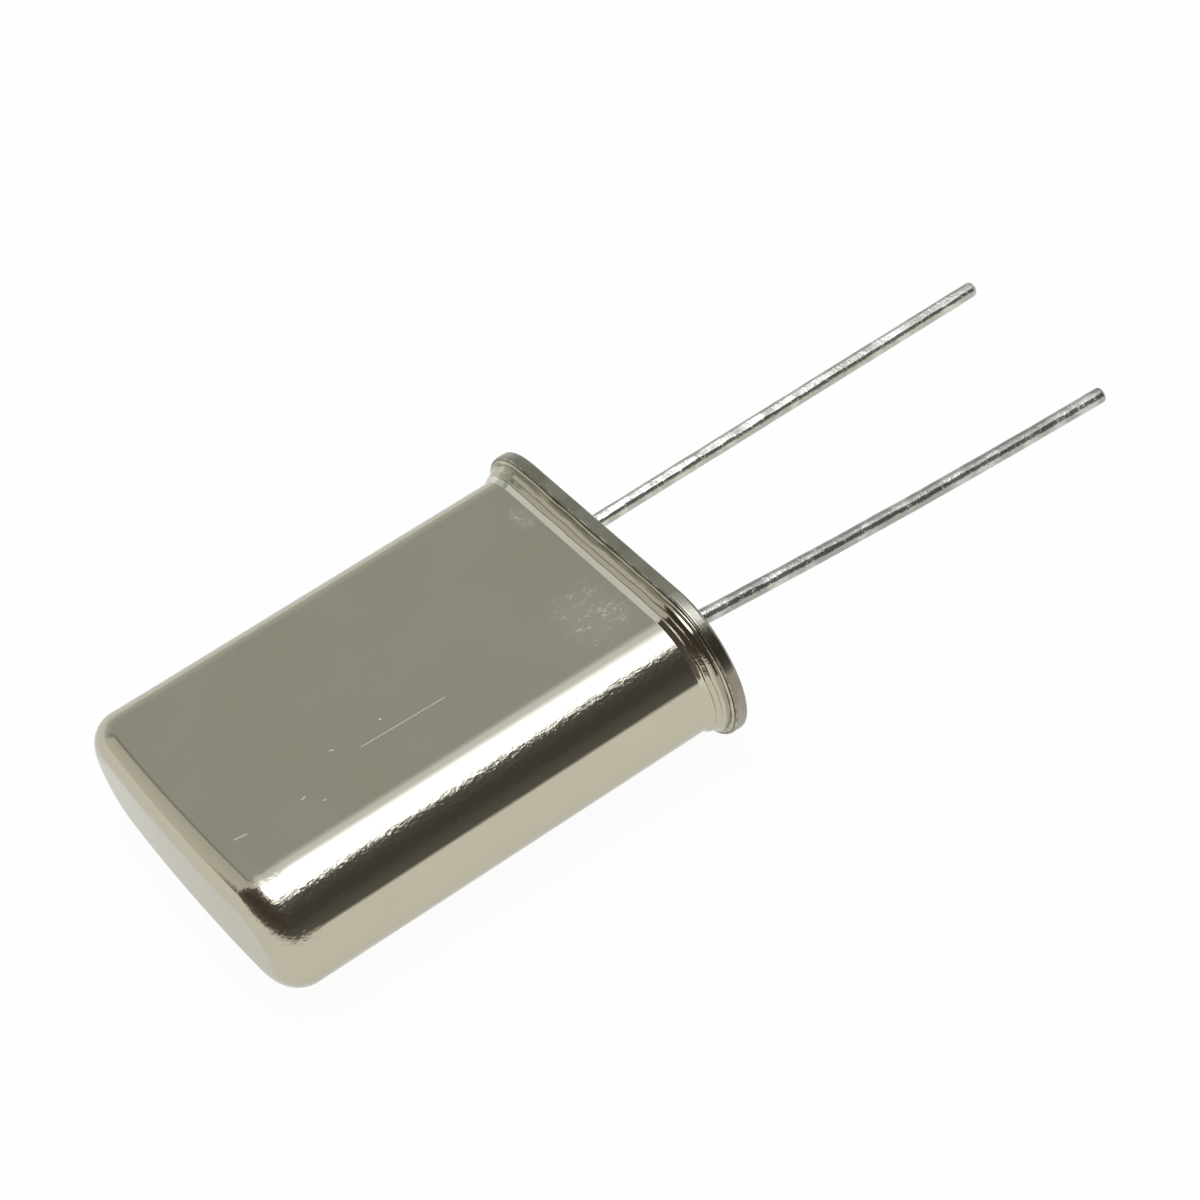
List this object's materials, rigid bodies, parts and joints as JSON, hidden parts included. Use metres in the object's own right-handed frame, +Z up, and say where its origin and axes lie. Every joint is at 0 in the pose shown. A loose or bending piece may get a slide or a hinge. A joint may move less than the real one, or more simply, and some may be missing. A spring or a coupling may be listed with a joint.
{
  "type": "quartz crystal unit",
  "caption": "Quartz crystal unit in a tall oval nickel-plated metal can, welded foot flange, straight wire leads through glass seals, lying on its side.",
  "frame": {"origin": "on the surface it lies on, below the middle of the overall box", "axes": "+X along the leads away from the can (the can itself is tipped about 2 degrees, because the foot is deeper than the can), +Y across the width towards lead A, +Z up, out of the broad side that faces up"},
  "size_m": [0.0272, 0.011, 0.0045],
  "materials": {
    "can_metal": "polished warm nickel plating with fine scratches",
    "base_metal": "nickel plating, weld marks at the edge",
    "lead_tin": "hot-dipped tin, slightly lumpy",
    "seal_glass": "dark green sealing glass",
    "clip_metal": "bright nickel strip",
    "quartz": "finely lapped quartz",
    "silver_film": "matte silver film",
    "adhesive": "silver-filled adhesive"
  },
  "bodies": {
    "root": {"can": "can_metal", "base": "base_metal", "glass_seal_a": "seal_glass", "glass_seal_b": "seal_glass", "lead_a": "lead_tin", "lead_b": "lead_tin", "spring_clip_a": "clip_metal", "spring_clip_b": "clip_metal", "quartz_blank": "quartz", "electrode_front": "silver_film", "electrode_back": "silver_film", "adhesive_a": "adhesive", "adhesive_b": "adhesive"}
  },
  "joints": []
}
